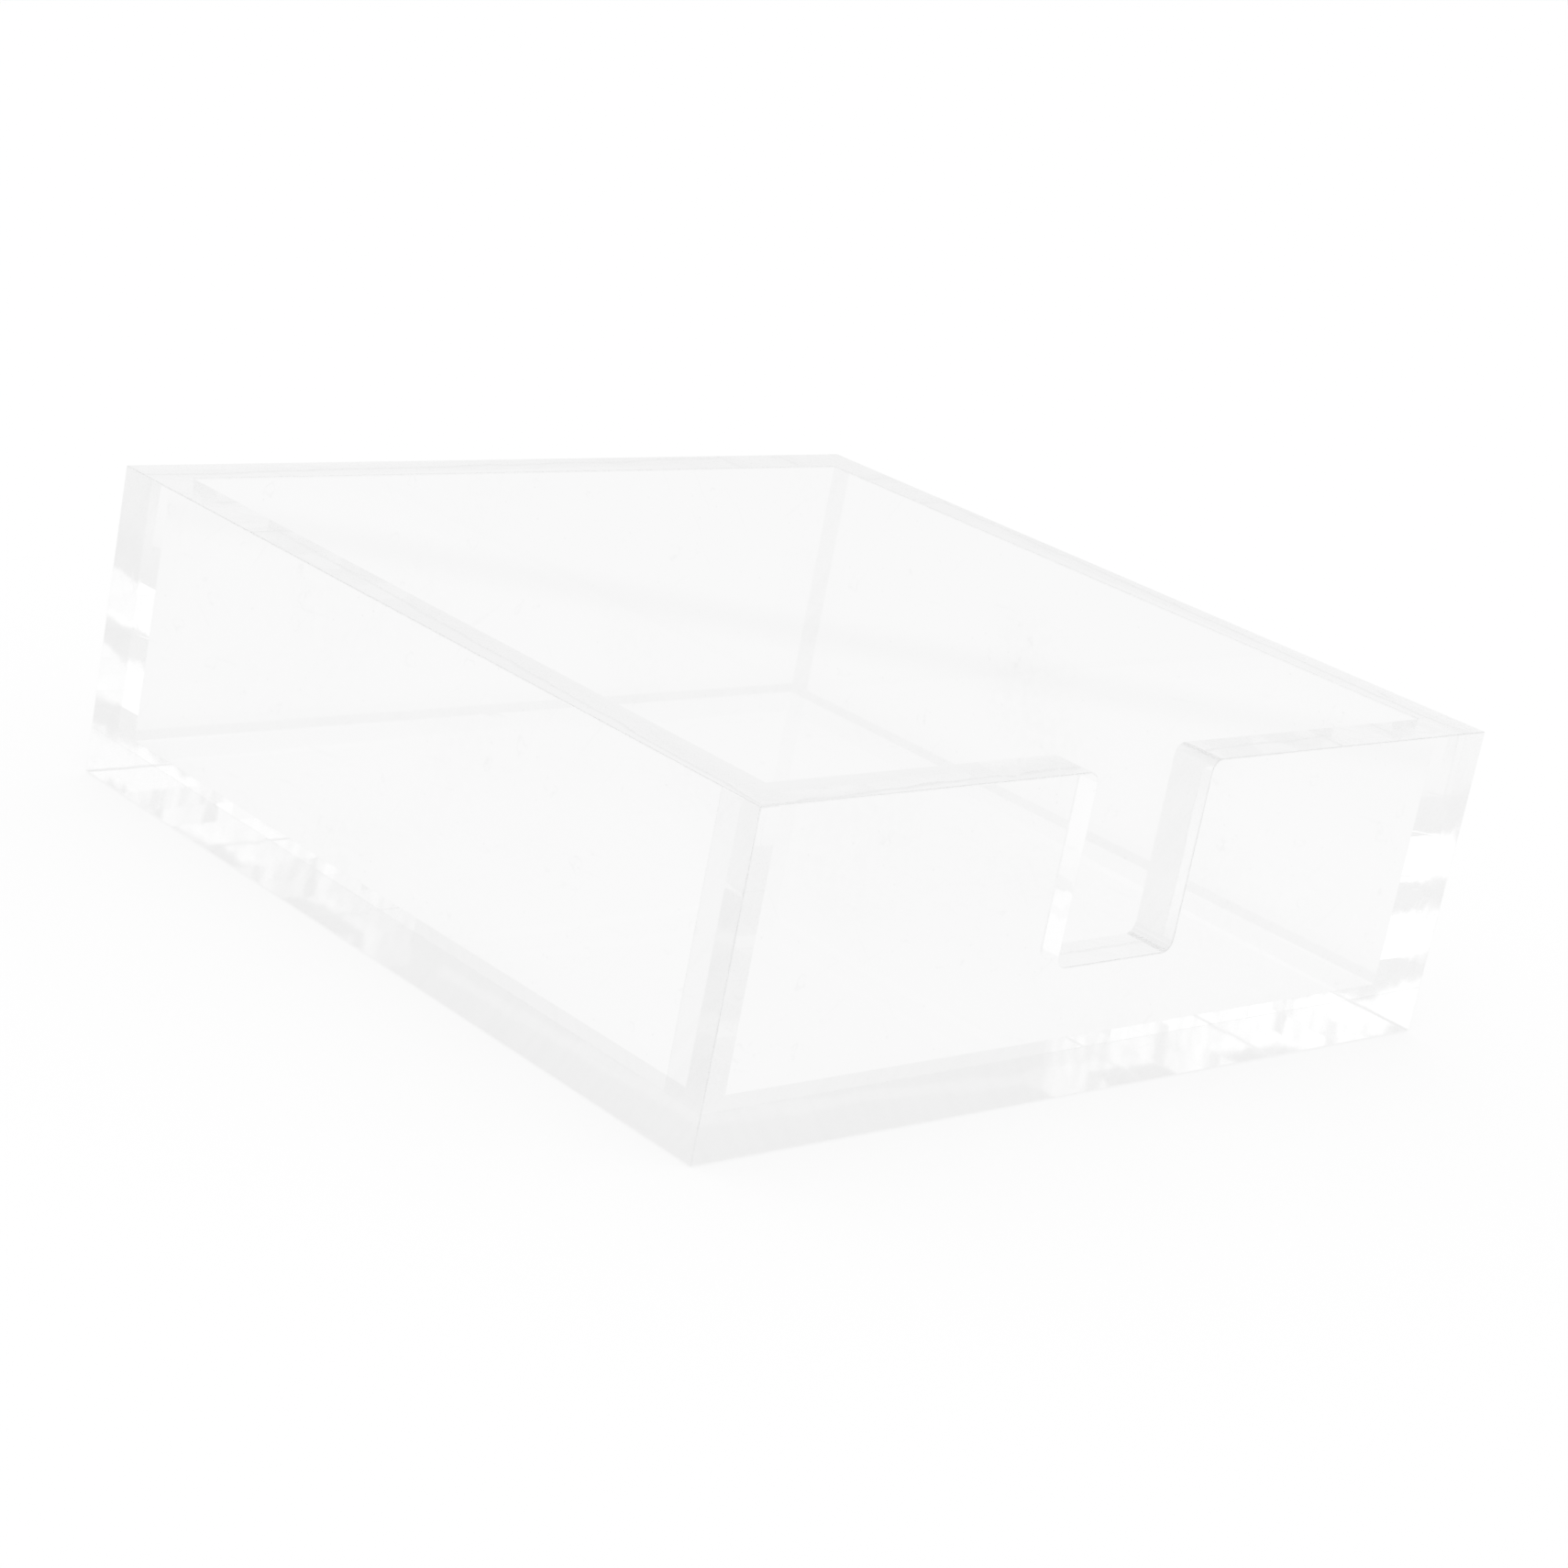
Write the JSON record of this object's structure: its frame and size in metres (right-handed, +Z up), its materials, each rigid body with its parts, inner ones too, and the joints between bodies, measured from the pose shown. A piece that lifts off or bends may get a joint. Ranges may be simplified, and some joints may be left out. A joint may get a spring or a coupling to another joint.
{
  "type": "napkin holder",
  "caption": "Open square napkin tray of thick clear acrylic sheet, with polished edges and a finger slot cut down from the rim of its front panel.",
  "frame": {"origin": "middle of the tray's underside, on the surface that it stands on", "axes": "+Z up, -Y out of the slotted front panel, +X to the right as seen from the front"},
  "size_m": [0.1906, 0.1906, 0.0635],
  "materials": {
    "clear_acrylic": "clear cast acrylic sheet with polished faces and edges"
  },
  "bodies": {
    "root": {"base_panel": "clear_acrylic", "front_panel": "clear_acrylic", "back_panel": "clear_acrylic", "left_side_panel": "clear_acrylic", "right_side_panel": "clear_acrylic"}
  },
  "joints": []
}
